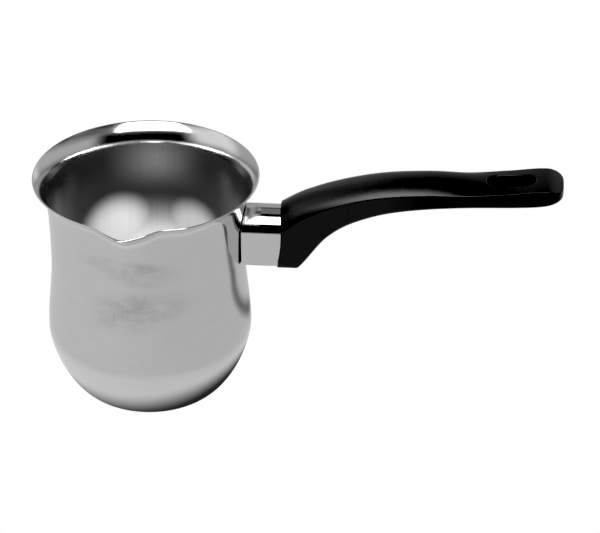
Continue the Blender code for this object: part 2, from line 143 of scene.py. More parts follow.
def new_piece(name, mesh, materials, sharp=SHARP_ANGLE):
    """A visible piece that rides on the pot, shaded smooth between sharp edges."""
    obj = bpy.data.objects.new(name, mesh)
    bpy.context.scene.collection.objects.link(obj)
    for material in materials:
        mesh.materials.append(material)
    mesh.shade_smooth()
    mesh.set_sharp_from_angle(angle=radians(sharp))
    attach(obj, "root")
    return obj


def grid_mesh(name, rows, close_rows=False, cap_ends=False, row_materials=None):
    """A skin over rows of points; each row is a closed ring. Rows may close on each other."""
    bm = bmesh.new()
    rings = [[bm.verts.new(point) for point in row] for row in rows]
    count = len(rings[0])
    pairs = list(zip(rings, rings[1:]))
    if close_rows:
        pairs.append((rings[-1], rings[0]))
    for k, (ring, next_ring) in enumerate(pairs):
        for i in range(count):
            j = (i + 1) % count
            face = bm.faces.new((ring[i], ring[j], next_ring[j], next_ring[i]))
            if row_materials:
                face.material_index = row_materials[k]
    if cap_ends:
        first = bm.faces.new(list(reversed(rings[0])))
        last = bm.faces.new(rings[-1])
        if row_materials:
            first.material_index = row_materials[0]
            last.material_index = row_materials[-1]
    bmesh.ops.recalc_face_normals(bm, faces=bm.faces)
    mesh = bpy.data.meshes.new(name)
    bm.to_mesh(mesh)
    bm.free()
    return mesh


def height_along(line, x):
    """Height at x of the smooth curve through the line's (x, height) points."""
    slopes = []
    for i in range(len(line)):
        before = line[max(i - 1, 0)]
        after = line[min(i + 1, len(line) - 1)]
        slopes.append((after[1] - before[1]) / (after[0] - before[0]))
    x = min(max(x, line[0][0]), line[-1][0])
    i = max(k for k in range(len(line) - 1) if line[k][0] <= x)
    (x0, z0), (x1, z1) = line[i], line[i + 1]
    span = x1 - x0
    t = (x - x0) / span
    return (z0 * (1 + 2 * t) * (1 - t) ** 2 + z1 * t * t * (3 - 2 * t)
            + span * t * (1 - t) * (slopes[i] * (1 - t) - slopes[i + 1] * t))


def circle_radius(half_width, arch):
    """Radius of the circle through both ends and the top of an arch."""
    return (half_width * half_width + arch * arch) / (2 * arch)


def joint_x(z, inset=0.0):
    """The x of the joint face at height z."""
    radius = JOINT_RADIUS - inset
    return JOINT_CENTRE_X + sqrt(radius ** 2 - (z - JOINT_CENTRE_Z) ** 2)


# ---------------------------------------------------------------- pot body

def flare_share(z):
    """0 at the neck, 1 at the rim."""
    return max(0.0, (z - NECK_HEIGHT) / (RIM_HEIGHT - NECK_HEIGHT))


def wall_radius(z):
    """Outer radius of the pot at height z, away from the spout."""
    if z < BELLY_HEIGHT:
        fall = (BELLY_HEIGHT - z) / BOWL_DEPTH
        reach = (1 - fall ** BOWL_POWER) ** (1 / BOWL_POWER)
        return BOWL_CENTRE + (BELLY_RADIUS - BOWL_CENTRE) * reach
    if z < NECK_HEIGHT:
        share = (z - BELLY_HEIGHT) / (NECK_HEIGHT - BELLY_HEIGHT)
        return BELLY_RADIUS + (NECK_RADIUS - BELLY_RADIUS) * share * share * (3 - 2 * share)
    share = flare_share(z)
    return NECK_RADIUS + FLARE_OPENING * share ** 3 + LIP_FLARE * share ** 9


def spout_share(angle):
    """1 in the middle of the spout and 0 outside it, with nearly straight flanks."""
    half = SPOUT_LEFT if angle < 0 else SPOUT_RIGHT
    rounded = sqrt(angle * angle + SPOUT_ROUNDING * SPOUT_ROUNDING) - SPOUT_ROUNDING
    return max(0.0, 1 - rounded / half) ** SPOUT_SHARPNESS


def dent_share(angle):
    """1 in the middle of the flattened rim beside the spout and 0 outside it."""
    offset = (angle - DENT_ANGLE) / DENT_HALF_WIDTH
    return max(0.0, 1 - offset * offset) ** 2


def wall_point(angle, z):
    """Point of the pot's outer face at a turn angle and height, with the spout pulled out."""
    from_spout = (angle + pi / 2 + SPOUT_TURN + pi) % (2 * pi) - pi
    fade = flare_share(z) ** SPOUT_FADE
    pull = spout_share(from_spout) * fade
    radius = wall_radius(z) + SPOUT_REACH * pull - DENT_DEPTH * dent_share(from_spout) * fade
    return Vector((radius * cos(angle), radius * sin(angle), z - SPOUT_DROP * pull))


def wall_normal(angle, z):
    """Outward direction of the pot's outer face."""
    step = 1e-4
    low = max(z - step, 0.0)
    high = min(z + step, RIM_HEIGHT)
    along = wall_point(angle, high) - wall_point(angle, low)
    around = wall_point(angle + step, z) - wall_point(angle - step, z)
    return around.cross(along).normalized()


def wall_heights(flare_rows=34, waist_rows=18, bowl_rows=26):
    """Heights of the pot's rows from rim to base, closest where the wall bends most."""
    heights = []
    for i in range(flare_rows):
        share = 1 - (i / flare_rows) ** ROW_CROWDING
        heights.append(NECK_HEIGHT + (RIM_HEIGHT - NECK_HEIGHT) * share)
    for i in range(waist_rows):
        heights.append(NECK_HEIGHT + (BELLY_HEIGHT - NECK_HEIGHT) * i / waist_rows)
    last_angle = acos(sqrt(1 - (BELLY_HEIGHT / BOWL_DEPTH) ** 2))
    for i in range(bowl_rows + 1):
        heights.append(BELLY_HEIGHT - BOWL_DEPTH * sin(last_angle * i / bowl_rows))
    heights[-1] = 0.0
    return heights


def flat_ring(radius, z, angles):
    """A level circle round the pot's axis."""
    return [Vector((radius * cos(a), radius * sin(a), z)) for a in angles]


def pot_mesh(steps=360):
    """The drawn cup as one closed skin: outer face, rounded rim edge, inner face."""
    angles = [2 * pi * i / steps for i in range(steps)]
    heights = wall_heights()
    outer = [[wall_point(a, z) for a in angles] for z in heights]
    normals = [[wall_normal(a, z) for a in angles] for z in heights]
    rows = []
    materials = []
    base_radius = outer[-1][0].xy.length
    for share in DISC_RINGS:
        rows.append(flat_ring(base_radius * share, 0.0, angles))
        materials.append(BASE)
    for k in range(len(heights) - 1, -1, -1):
        rows.append(outer[k])
        materials.append(LIP if heights[k] > POLISH_LINE else OUTSIDE)
    edge_steps = 6
    for i in range(1, edge_steps):
        turn = pi * i / edge_steps
        ring = []
        for point, normal, angle in zip(outer[0], normals[0], angles):
            up = (wall_point(angle, RIM_HEIGHT) - wall_point(angle, RIM_HEIGHT - 1e-4)).normalized()
            middle = point - normal * SHEET / 2
            ring.append(middle + normal * SHEET / 2 * cos(turn) + up * SHEET / 2 * sin(turn))
        rows.append(ring)
        materials.append(LIP)
    for k, z in enumerate(heights):
        ring = []
        for point, normal in zip(outer[k], normals[k]):
            inner = point - normal * SHEET
            if z < SHEET:
                inner.z = SHEET
            ring.append(inner)
        rows.append(ring)
        materials.append(LIP if z > POLISH_LINE else INSIDE)
    for share in reversed(DISC_RINGS):
        rows.append(flat_ring(base_radius * share, SHEET, angles))
        materials.append(INSIDE)
    return grid_mesh("pot", rows, cap_ends=True, row_materials=materials)


# ---------------------------------------------------------------- ferrule

def arch_points(half_width, side_top, top, rise, steps=24):
    """(y, z) points from the top of the arch down to its right side, on an ellipse."""
    centre = top - rise
    low = (side_top - centre) / rise
    width = half_width / sqrt(1 - low * low)
    edge = asin(low)
    points = []
    for i in range(steps + 1):
        angle = pi / 2 + (edge - pi / 2) * i / steps
        points.append(Vector((width * cos(angle), centre + rise * sin(angle))))
    return points


def d_outline(half_width, bottom, side_top, top, corner, rise=None, shoulder=0.0):
    """(y, z) points of a D lying on its flat: round arch, flat sides, rounded lower corners.

    The rise is the vertical half-axis of the ellipse that the arch is part of; without one the
    arch is part of a circle. A shoulder radius softens the crease between side and arch."""
    side_steps = 10
    corner_steps = 6
    if rise is None:
        rise = circle_radius(half_width, top - side_top)
    half = arch_points(half_width, side_top, top, rise)
    corner_top = bottom + corner
    for i in range(1, side_steps):
        half.append(Vector((half_width, side_top + (corner_top - side_top) * i / side_steps)))
    for i in range(corner_steps + 1):
        angle = pi / 2 * i / corner_steps
        half.append(Vector((half_width - corner * (1 - cos(angle)), corner_top - corner * sin(angle))))
    if shoulder > 0:
        half = soften(half, Vector((half_width, side_top)), shoulder)
    left = [Vector((-p.x, p.y)) for p in half[1:]]
    return half + list(reversed(left))


def soften(points, corner, radius):
    """Pull the points near a corner of the outline inwards onto a short curve."""
    index = min(range(len(points)), key=lambda k: (points[k] - corner).length)
    before = points[index - 1] - corner
    after = points[index + 1] - corner
    longest = 0.9 * min(before.length, after.length)
    reach = min(radius, longest)
    start = corner + before.normalized() * reach
    end = corner + after.normalized() * reach
    curve = []
    for t in (0.0, 0.25, 0.5, 0.75, 1.0):
        curve.append(start * (1 - t) ** 2 + corner * 2 * t * (1 - t) + end * t * t)
    return points[:index] + curve + points[index + 1:]


def ferrule_mesh():
    """The polished sleeve, cut to the pot's wall at one end and to the joint face at the other."""
    outside = d_outline(FERRULE_HALF_WIDTH, FERRULE_BOTTOM, FERRULE_SIDE_TOP, FERRULE_TOP,
                        FERRULE_CORNER, rise=ARCH_RISE)
    inside = inset_outline(outside, FERRULE_SHEET)
    bevel_out = inset_outline(outside, SHEET_EDGE)
    bevel_in = inset_outline(outside, FERRULE_SHEET - SHEET_EDGE)

    def start_x(y, z):
        wall = wall_radius(min(z, RIM_HEIGHT)) + GAP
        return max(FERRULE_START, sqrt(wall * wall - y * y))

    def ring(outline, share, edge=SHEET_EDGE):
        points = []
        for p in outline:
            first = start_x(p.x, p.y) + edge
            last = joint_x(p.y, GAP) - edge
            points.append(Vector((first + (last - first) * share, p.x, p.y)))
        return points

    shares = (0.0, 0.25, 0.5, 0.75, 1.0)
    rows = [ring(outside, share) for share in shares]
    rows += [ring(bevel_out, 1.0, 0.0), ring(bevel_in, 1.0, 0.0)]
    rows += [ring(inside, share) for share in reversed(shares)]
    rows += [ring(bevel_in, 0.0, 0.0), ring(bevel_out, 0.0, 0.0)]
    return grid_mesh("ferrule_sleeve", rows, close_rows=True)


def inset_outline(outline, depth):
    """A clockwise outline moved inwards by depth, along its own normals."""
    count = len(outline)
    moved = []
    for i, point in enumerate(outline):
        tangent = (outline[(i + 1) % count] - outline[i - 1]).normalized()
        moved.append(point + Vector((tangent.y, -tangent.x)) * depth)
    return moved


# ---------------------------------------------------------------- handle

def handle_half_width(x):
    """Half of the handle's width at x, closing in a squarish round end at the tip."""
    start = FERRULE_HALF_WIDTH + HANDLE_STEP
    round_start = HANDLE_TIP_X - HANDLE_ROUND_LENGTH
    share = (x - joint_x(SCREW_HEIGHT)) / (round_start - joint_x(SCREW_HEIGHT))
    width = start + (HANDLE_TIP_HALF_WIDTH - start) * min(share, 1.0)
    if x > round_start:
        along = min(1.0, (x - round_start) / HANDLE_ROUND_LENGTH)
        width *= (1 - along ** TIP_SQUARENESS) ** (1 / TIP_SQUARENESS)
    return width


def underside(x):
    """Height of the handle's underside at x: flat under the heel, then sweeping up."""
    start, heel = UNDERSIDE_LINE[0]
    if x <= start:
        return heel
    shift = (HEEL_END - start) * max(0.0, 1 - (x - start) / HEEL_SHIFT_LENGTH)
    rise = height_along(UNDERSIDE_LINE, max(start, x - shift)) - heel
    return heel + sqrt(rise * rise + HEEL_ROUNDING * HEEL_ROUNDING) - HEEL_ROUNDING


def handle_ring(x):
    """Points of the handle's section at x. Near the joint the section follows the joint face."""
    half_width = handle_half_width(x)
    tip_share = half_width / HANDLE_TIP_HALF_WIDTH
    crease = height_along(CREASE_LINE, x)
    arch = height_along(ARCH_LINE, x) * min(1.0, tip_share * 2)
    corner = HANDLE_CORNER * min(1.0, tip_share)
    start = joint_x(SCREW_HEIGHT)
    lean = max(0.0, (LEAN_END_X - x) / (LEAN_END_X - start))
    circle = circle_radius(half_width, arch)
    share = max(0.0, 1 - (x - start) / ARCH_BLEND)
    rise = circle + (ARCH_RISE + HANDLE_STEP - circle) * share
    outline = d_outline(half_width, underside(x), crease, crease + arch, corner, rise=rise,
                        shoulder=SHOULDER_ROUNDING * min(1.0, tip_share))
    return [Vector((x + lean * (joint_x(p.y) - start), p.x, p.y)) for p in outline]


def handle_stations():
    """Distances of the handle's sections from the pot's axis, closest at the heel and the tip."""
    heel_steps = 16
    grip_steps = 84
    tip_steps = 18
    past_heel = 0.003
    start = joint_x(SCREW_HEIGHT)
    heel_end = HEEL_END + past_heel
    round_start = HANDLE_TIP_X - HANDLE_ROUND_LENGTH
    stations = [start + (heel_end - start) * i / heel_steps for i in range(heel_steps)]
    stations += [heel_end + (round_start - heel_end) * i / grip_steps for i in range(grip_steps)]
    last_angle = radians(87)    # short of 90, so that the last section keeps some width
    for i in range(tip_steps + 1):
        stations.append(round_start + HANDLE_ROUND_LENGTH * sin(last_angle * i / tip_steps))
    return stations


def spigot_rings():
    """The plug that fits in the ferrule's end."""
    inset = FERRULE_SHEET + GAP
    outline = d_outline(FERRULE_HALF_WIDTH - inset, FERRULE_BOTTOM + inset, FERRULE_SIDE_TOP,
                        FERRULE_TOP - inset, FERRULE_CORNER, shoulder=SHOULDER_ROUNDING)
    end_x = joint_x(SCREW_HEIGHT) - SPIGOT_LENGTH
    end = [Vector((end_x, p.x, p.y)) for p in outline]
    root = [Vector((joint_x(p.y), p.x, p.y)) for p in outline]
    return [end, root]


def apply_cut(obj, mesh):
    """Subtract a mesh from the piece for good."""
    cutter = bpy.data.objects.new("cutter", mesh)
    bpy.context.scene.collection.objects.link(cutter)
    boolean = obj.modifiers.new("Cut", "BOOLEAN")
    boolean.operation = "DIFFERENCE"
    boolean.solver = "EXACT"
    boolean.object = cutter
    evaluated = obj.evaluated_get(bpy.context.evaluated_depsgraph_get())
    result = bpy.data.meshes.new_from_object(evaluated)
    obj.modifiers.remove(boolean)
    old = obj.data
    obj.data = result
    bpy.data.meshes.remove(old)
    bpy.data.objects.remove(cutter, do_unlink=True)


def stadium(x_centre, length, width, steps=16):
    """(x, y) points of a long hole with round ends."""
    radius = width / 2
    reach = (length - width) / 2
    points = []
    for i in range(2 * steps):
        angle = -pi / 2 + pi * i / steps + pi / (2 * steps)
        centre = x_centre + (reach if cos(angle) > 0 else -reach)
        points.append((centre + radius * cos(angle), radius * sin(angle)))
    return points


def top_surface(x, y):
    """Height of the handle's top at a place."""
    half_width = handle_half_width(x)
    crease = height_along(CREASE_LINE, x)
    arch = height_along(ARCH_LINE, x)
    radius = circle_radius(half_width, arch)
    return crease + arch - radius + sqrt(max(0.0, radius * radius - y * y))


def hanging_hole_mesh():
    """The long hole, with its upper and lower edges rounded along the handle's skin."""
    fillet_steps = 4
    fillet = [(2 * HOLE_FILLET, -HOLE_FILLET)]      # starts clear of the skin
    for i in range(fillet_steps + 1):
        angle = pi / 2 * i / fillet_steps
        fillet.append((HOLE_FILLET * (1 - sin(angle)), HOLE_FILLET * (1 - cos(angle))))
    levels = [(widen, depth, True) for widen, depth in fillet]
    levels += [(widen, depth, False) for widen, depth in reversed(fillet)]
    rings = []
    for widen, depth, from_top in levels:
        ring = []
        for x, y in stadium(HOLE_X, HOLE_LENGTH + 2 * widen, HOLE_WIDTH + 2 * widen):
            z = top_surface(x, y) - depth if from_top else underside(x) + depth
            ring.append(Vector((x, y, z)))
        rings.append(ring)
    return grid_mesh("hanging_hole", rings, cap_ends=True)


def screw_hole_mesh(radius, x_start, x_end, steps=40):
    """A round hole along the screw's axis."""
    rings = []
    for x in (x_start, x_end):
        ring = []
        for i in range(steps):
            angle = 2 * pi * i / steps
            ring.append(Vector((x, radius * cos(angle), SCREW_HEIGHT + radius * sin(angle))))
        rings.append(ring)
    return grid_mesh("screw_hole", rings, cap_ends=True)


def handle_piece(materials):
    """The moulded handle with its hanging hole and the counterbored screw hole."""
    rings = spigot_rings() + [handle_ring(x) for x in handle_stations()]
    piece = new_piece("grip", grid_mesh("grip", rings, cap_ends=True), materials)
    apply_cut(piece, hanging_hole_mesh())
    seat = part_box("flat_washer")[0].x - GAP
    apply_cut(piece, screw_hole_mesh(SCREW_BORE_RADIUS, handle_low.x - GAP, seat + GAP))
    apply_cut(piece, screw_hole_mesh(COUNTERBORE_RADIUS, seat, seat + COUNTERBORE_DEPTH))
    piece.data.shade_smooth()
    piece.data.set_sharp_from_angle(angle=radians(SHARP_ANGLE))
    return piece


# ---------------------------------------------------------------- shader nodes

class Graph:
    """Short calls that add shader nodes to one node tree."""

    def __init__(self, tree):
        self.tree = tree

    def node(self, kind, inputs=None, **settings):
        """A node with its settings, its inputs given as values or as other nodes' outputs."""
        node = self.tree.nodes.new(kind)
        for key, value in settings.items():
            setattr(node, key, value)
        for key, value in (inputs or {}).items():
            self.feed(node.inputs[key], value)
        return node

    def feed(self, socket, value):
        """Link an output to the socket, or set the socket's own value."""
        if isinstance(value, bpy.types.NodeSocket):
            self.tree.links.new(value, socket)
        else:
            socket.default_value = value

    def math(self, operation, first, second=0.0, third=0.0):
        """One maths node's output."""
        node = self.node("ShaderNodeMath", operation=operation)
        for socket, value in zip(node.inputs, (first, second, third)):
            self.feed(socket, value)
        return node.outputs[0]

    def ramp(self, value, start, end, low=0.0, high=1.0):
        """A smooth step from low to high as value goes from start to end."""
        node = self.node("ShaderNodeMapRange", interpolation_type="SMOOTHSTEP")
        for socket, item in zip(node.inputs, (value, start, end, low, high)):
            self.feed(socket, item)
        return node.outputs[0]

    def window(self, value, start, end, soft):
        """1 between start and end, 0 outside, with soft edges."""
        rise = self.ramp(value, start - soft, start + soft)
        fall = self.ramp(value, end - soft, end + soft, 1.0, 0.0)
        return self.math("MULTIPLY", rise, fall)

    def squares(self, first, second):
        """The sum of two squares."""
        return self.math("ADD", self.math("MULTIPLY", first, first),
                         self.math("MULTIPLY", second, second))

    def ellipse(self, first, second, centre, half_size):
        """0 at the centre, rising with the square of the distance to 1 on the ellipse."""
        across = self.math("DIVIDE", self.math("SUBTRACT", first, centre[0]), half_size[0])
        up = self.math("DIVIDE", self.math("SUBTRACT", second, centre[1]), half_size[1])
        return self.squares(across, up)

    def vary(self, value, noise, amount):
        """The value moved up and down by a noise around 0.5, times the amount."""
        return self.math("MULTIPLY_ADD", self.math("SUBTRACT", noise, 0.5), amount, value)

    def split(self, vector):
        """The x, y and z of a vector."""
        node = self.node("ShaderNodeSeparateXYZ", {"Vector": vector})
        return node.outputs[0], node.outputs[1], node.outputs[2]

    def join(self, x, y, z):
        """A vector from its x, y and z."""
        node = self.node("ShaderNodeCombineXYZ", {"X": x, "Y": y, "Z": z})
        return node.outputs[0]

    def noise(self, vector, scale, detail=2.0, roughness=0.5):
        """A noise value around 0.5."""
        node = self.node("ShaderNodeTexNoise",
                         {"Vector": vector, "Scale": scale, "Detail": detail,
                          "Roughness": roughness})
        return node.outputs["Fac"]

    def grey(self, value):
        """A grey colour from a number."""
        node = self.node("ShaderNodeCombineColor", {"Red": value, "Green": value, "Blue": value})
        return node.outputs[0]

    def position(self):
        """The shaded point in the pot's frame, in millimetres."""
        point = self.node("ShaderNodeNewGeometry").outputs["Position"]
        node = self.node("ShaderNodeVectorMath", {0: point, 1: (1000.0, 1000.0, 1000.0)},
                         operation="MULTIPLY")
        return node.outputs[0]

    def bump(self, height, strength, distance=0.0001):
        """A normal tilted by a height, whose full range stands for the distance in metres."""
        node = self.node("ShaderNodeBump", {"Height": height, "Strength": strength,
                                            "Distance": distance})
        return node.outputs[0]


def new_material(name):
    """A material with a Principled shader, and its graph."""
    material = bpy.data.materials.new(name)
    material.use_nodes = True
    shader = material.node_tree.nodes["Principled BSDF"]
    return material, shader, Graph(material.node_tree)


def around_axis(graph):
    """Turn angle round the pot's axis, distance from it and height of the shaded point."""
    x, y, z = graph.split(graph.position())
    return graph.math("ARCTAN2", y, x), graph.math("SQRT", graph.squares(x, y)), z


# ---------------------------------------------------------------- materials (heights in millimetres)

STEEL = 0.72                # reflectance of the polished steel
BOWL_SHADE_TONE = 0.052           # reflectance of the inside where it is smooth, kept far below real steel's as painted shade
STREAKS = 60.0              # streaks down the inside wall, per radian
FINE_STREAKS = 220.0
# Satin fields inside: heights where they start and are full, their share of the finish, and the
# first bearing, last bearing and softness in degrees (None: all round). The fields under the rims are
# pale satin patches that paint in reflections; the bottom's field is its satin finish.
SATIN_AND_PAINTED_REFLECTION_FIELDS = [
    (73, 46, 0.88, (64, 124, 22)),      # painted reflection under the back rim
    (84, 50, 0.70, (-155, -25, 25)),    # painted reflection under the front rim, like the back one
    (58, 40, 0.75, None),               # the bottom of the bowl
]
# Painted reflections of the bright bowl bottom, as pale satin lobes on the back wall: bearing and
# height, half-width in degrees and half-height, share of the finish
PAINTED_REFLECTION_LOBES = [((117, 55), (28, 19), 0.85), ((68, 54), (24, 18), 0.66)]
# Painted glow of the many reflections inside, faint, under the back rim: bearings and heights from,
# to and softness, share of the finish
PAINTED_GLOW_BEARINGS = (77, 106, 20)
PAINTED_GLOW_HEIGHTS = (81, 99, 8)
PAINTED_GLOW_SHARE = 0.20
# Rubbed patches on the outer wall: bearing and height, half-width in degrees and half-height
SMUDGES = [((-86, 80), (26, 8)), ((-99, 60), (26, 13)), ((-80, 64), (30, 10)), ((-100, 84), (30, 5))]
# Noises on the outer wall: waves per millimetre round the wall and up it, seed, detail, roughness
WALL_NOISES = {
    "hoops": (0.02, 1.0, 0.0, 4.0, 0.6),
    "cloud": (0.08, 0.15, 3.0, 6.0, 0.7),
    "scratches": (1.8, 0.06, 4.0, 3.0, 0.6),
    "grain": (1.2, 2.0, 7.0, 3.0, 0.7),
    "specks": (1.1, 1.1, 9.9, 2.0, 0.6),
}
# Tone and roughness of the stamped and plated pieces inside the ferrule and the heel
PLATED = {
    "handle_bracket": (0.55, 0.35),
    "bracket_nut": (0.50, 0.38),
    "handle_screw": (0.62, 0.24),
    "flat_washer": (0.60, 0.28),
    "lock_washer": (0.42, 0.34),
}


def wall_noises(graph, angle, z):
    """The noises of the outer wall, by name."""
    arc = graph.math("MULTIPLY", angle, BELLY_RADIUS * 1000)
    noises = {}
    for name, (around, up, seed, detail, roughness) in WALL_NOISES.items():
        place = graph.join(graph.math("MULTIPLY", arc, around), graph.math("MULTIPLY", z, up), seed)
        noises[name] = graph.noise(place, 1.0, detail, roughness)
    return noises


def wall_steel():
    """Outer wall: fine polish with faint hoop lines, and soft smudges on the front."""
    material, shader, graph = new_material("wall_steel")
    angle, _, z = around_axis(graph)
    bearing = graph.math("DEGREES", angle)
    noises = wall_noises(graph, angle, z)
    rubbed = 0.0
    for centre, half_size in SMUDGES:
        distance = graph.ellipse(bearing, z, centre, half_size)
        rubbed = graph.math("ADD", graph.ramp(distance, 0.0, 1.0, 1.0, 0.0), rubbed)
    smudge = graph.math("MULTIPLY", rubbed, graph.ramp(noises["cloud"], 0.30, 0.68))
    specks = graph.math("MULTIPLY", smudge, graph.ramp(noises["specks"], 0.60, 0.72))
    lines = graph.math("MULTIPLY", smudge, graph.ramp(noises["scratches"], 0.50, 0.70))
    tone = STEEL
    for name, amount in (("hoops", 0.03), ("cloud", 0.07), ("grain", 0.05)):
        tone = graph.vary(tone, noises[name], amount)
    for mark, darkening in ((smudge, 0.11), (specks, 0.10), (lines, 0.08)):
        tone = graph.math("MULTIPLY_ADD", mark, -darkening, tone)
    rough = graph.math("MULTIPLY_ADD", noises["hoops"], 0.04, 0.09)
    rough = graph.math("MULTIPLY_ADD", smudge, 0.10, rough)
    graph.feed(shader.inputs["Base Color"], graph.grey(tone))
    graph.feed(shader.inputs["Metallic"], 1.0)
    graph.feed(shader.inputs["Roughness"], rough)
    graph.feed(shader.inputs["Normal"], graph.bump(noises["hoops"], 0.012))
    return material


def satin_and_painted_reflection_share(graph, bearing, z):
    """Share of coarse satin in the inside's finish, most of it pale patches that paint in reflections
    and glow on the wall.
    """
    satin_and_reflection = 0.0
    # The fields under the rims are painted reflections; the bottom's field is satin finish.
    for start, full, share, bearings in SATIN_AND_PAINTED_REFLECTION_FIELDS:
        field = graph.ramp(z, start, full, 0.0, share)
        if bearings:
            field = graph.math("MULTIPLY", field, graph.window(bearing, *bearings))
        satin_and_reflection = graph.math("MAXIMUM", satin_and_reflection, field)
    # Painted reflections: pale lobes where the back wall mirrors the bright bottom.
    for centre, half_size, share in PAINTED_REFLECTION_LOBES:
        reflection_lobe = graph.ramp(graph.ellipse(bearing, z, centre, half_size), 0.0, 1.20, share, 0.0)
        satin_and_reflection = graph.math("MAXIMUM", satin_and_reflection, reflection_lobe)
    # Painted glow: a faint pale patch standing in for light from several reflections.
    painted_glow = graph.math("MULTIPLY", graph.window(bearing, *PAINTED_GLOW_BEARINGS),
                      graph.window(z, *PAINTED_GLOW_HEIGHTS))
    return graph.math("MULTIPLY_ADD", painted_glow, PAINTED_GLOW_SHARE, satin_and_reflection)


def bowl_steel():
    """Inner wall: painted dark shade where smooth, pale satin with painted reflections and glow,
    streaked towards the bowl's centre.
    """
    material, shader, graph = new_material("bowl_steel")
    angle, _, z = around_axis(graph)
    down = graph.math("MULTIPLY", z, 0.02)
    coarse_place = graph.join(graph.math("MULTIPLY", angle, STREAKS), down, 0.0)
    fine_place = graph.join(graph.math("MULTIPLY", angle, FINE_STREAKS), down, 5.0)
    streaks = graph.noise(coarse_place, 1.0, 4.0, 0.65)
    fine = graph.noise(fine_place, 1.0, 2.0, 0.5)
    satin_and_reflection = satin_and_painted_reflection_share(graph, graph.math("DEGREES", angle), z)
    # The smooth wall's low tone is painted shade; the pale satin tone carries painted reflections and
    # glow.
    satin_and_reflection_tone = graph.vary(graph.vary(0.80, streaks, 0.30), fine, 0.20)
    tone = graph.math("MULTIPLY_ADD", satin_and_reflection, satin_and_reflection_tone, BOWL_SHADE_TONE)
    graph.feed(shader.inputs["Base Color"], graph.grey(tone))
    graph.feed(shader.inputs["Metallic"], graph.math("MULTIPLY_ADD", satin_and_reflection, -0.5, 0.5))
    graph.feed(shader.inputs["Roughness"], graph.math("MULTIPLY_ADD", streaks, 0.10, 0.17))
    return material


def mirror_steel(name, waviness, blur, wall_blur):
    """Mirror-polished steel, wavy like pressed sheet, and blurred more beside the pot's wall."""
    material, shader, graph = new_material(name)
    place = graph.position()
    waves = graph.noise(place, 0.16, 2.0, 0.5)
    haze = graph.noise(place, 1.3, 3.0, 0.6)
    x, _, z = graph.split(place)
    near_wall = graph.math("MULTIPLY", graph.ramp(x, 48.0, 54.0, 1.0, 0.0), graph.ramp(z, 86.0, 89.0))
    tone = graph.math("MULTIPLY_ADD", haze, 0.03, STEEL - 0.015)
    rough = graph.math("MULTIPLY_ADD", haze, 0.05, blur)
    rough = graph.math("MULTIPLY_ADD", near_wall, wall_blur, rough)
    graph.feed(shader.inputs["Base Color"], graph.grey(tone))
    graph.feed(shader.inputs["Metallic"], 1.0)
    graph.feed(shader.inputs["Roughness"], rough)
    graph.feed(shader.inputs["Normal"], graph.bump(waves, waviness, 0.001))
    return material


def base_steel():
    """Underside: turned finish in fine rings."""
    material, shader, graph = new_material("base_steel")
    _, radius, _ = around_axis(graph)
    rings = graph.noise(graph.join(graph.math("MULTIPLY", radius, 3.0), 0.0, 0.0), 1.0, 3.0, 0.7)
    tone = graph.math("MULTIPLY_ADD", rings, 0.2, 0.5)
    graph.feed(shader.inputs["Base Color"], graph.grey(tone))
    graph.feed(shader.inputs["Metallic"], 1.0)
    graph.feed(shader.inputs["Roughness"], 0.28)
    graph.feed(shader.inputs["Normal"], graph.bump(rings, 0.25))
    return material


def black_plastic():
    """Black phenolic moulding: semi-gloss with a fine grain, duller towards the hanging hole."""
    material, shader, graph = new_material("black_plastic")
    place = graph.position()
    grain = graph.noise(place, 3.2, 2.0, 0.6)
    dust = graph.noise(place, 0.35, 3.0, 0.6)
    x, _, _ = graph.split(place)
    tone = graph.math("MULTIPLY_ADD", dust, 0.002, 0.0016)
    graph.feed(shader.inputs["Base Color"], graph.grey(tone))
    graph.feed(shader.inputs["IOR"], 1.50)
    graph.feed(shader.inputs["Specular IOR Level"], graph.ramp(x, 100.0, 145.0, 0.43, 0.20))
    graph.feed(shader.inputs["Roughness"], graph.math("MULTIPLY_ADD", dust, 0.06, 0.25))
    graph.feed(shader.inputs["Normal"], graph.bump(grain, 0.35, 0.00003))
    return material


def cover(name, material):
    """Give a carried-over CAD node its material."""
    mesh = nodes[name].data
    mesh.materials.clear()
    mesh.materials.append(material)


def zinc_steel(name, tone, roughness):
    """Zinc-plated or stamped steel with a faint mottle."""
    material, shader, graph = new_material(name)
    mottle = graph.noise(graph.position(), 0.9, 4.0, 0.6)
    rough = graph.math("MULTIPLY_ADD", mottle, 0.15, roughness - 0.07)
    graph.feed(shader.inputs["Base Color"], graph.grey(graph.vary(tone, mottle, 0.16)))
    graph.feed(shader.inputs["Metallic"], 1.0)
    graph.feed(shader.inputs["Roughness"], rough)
    graph.feed(shader.inputs["Normal"], graph.bump(mottle, 0.1))
    return material


# ---------------------------------------------------------------- light, stage and camera

# Studio seen in the reflections: (brightness, first and last bearing, lowest and highest
# elevation, softness of the edges), in degrees. Bearing 0 is towards the spout, 90 the handle.
STUDIO = [
    (9.0, -24, 42, 43, 72, 4.0),
    (6.2, -48, -27, 43, 72, 5.0),
    (0.85, -100, -46, 10, 60, 14.0),
    (0.45, -160, -95, 4, 60, 12.0),
    (0.50, 62, 160, 4, 38, 12.0),
    (0.14, 44, 110, 38, 60, 5.0),
    (0.40, -60, 60, 3.5, 7.5, 1.5),
    (0.19, 95, 181, 52, 91, 5.0),
    (0.19, -181, -95, 52, 91, 5.0),
    (0.42, 150, 181, 2, 45, 5.0),
    (0.42, -181, -150, 2, 45, 5.0),
]
ROOM = 0.012                # brightness of the dark room around the patches
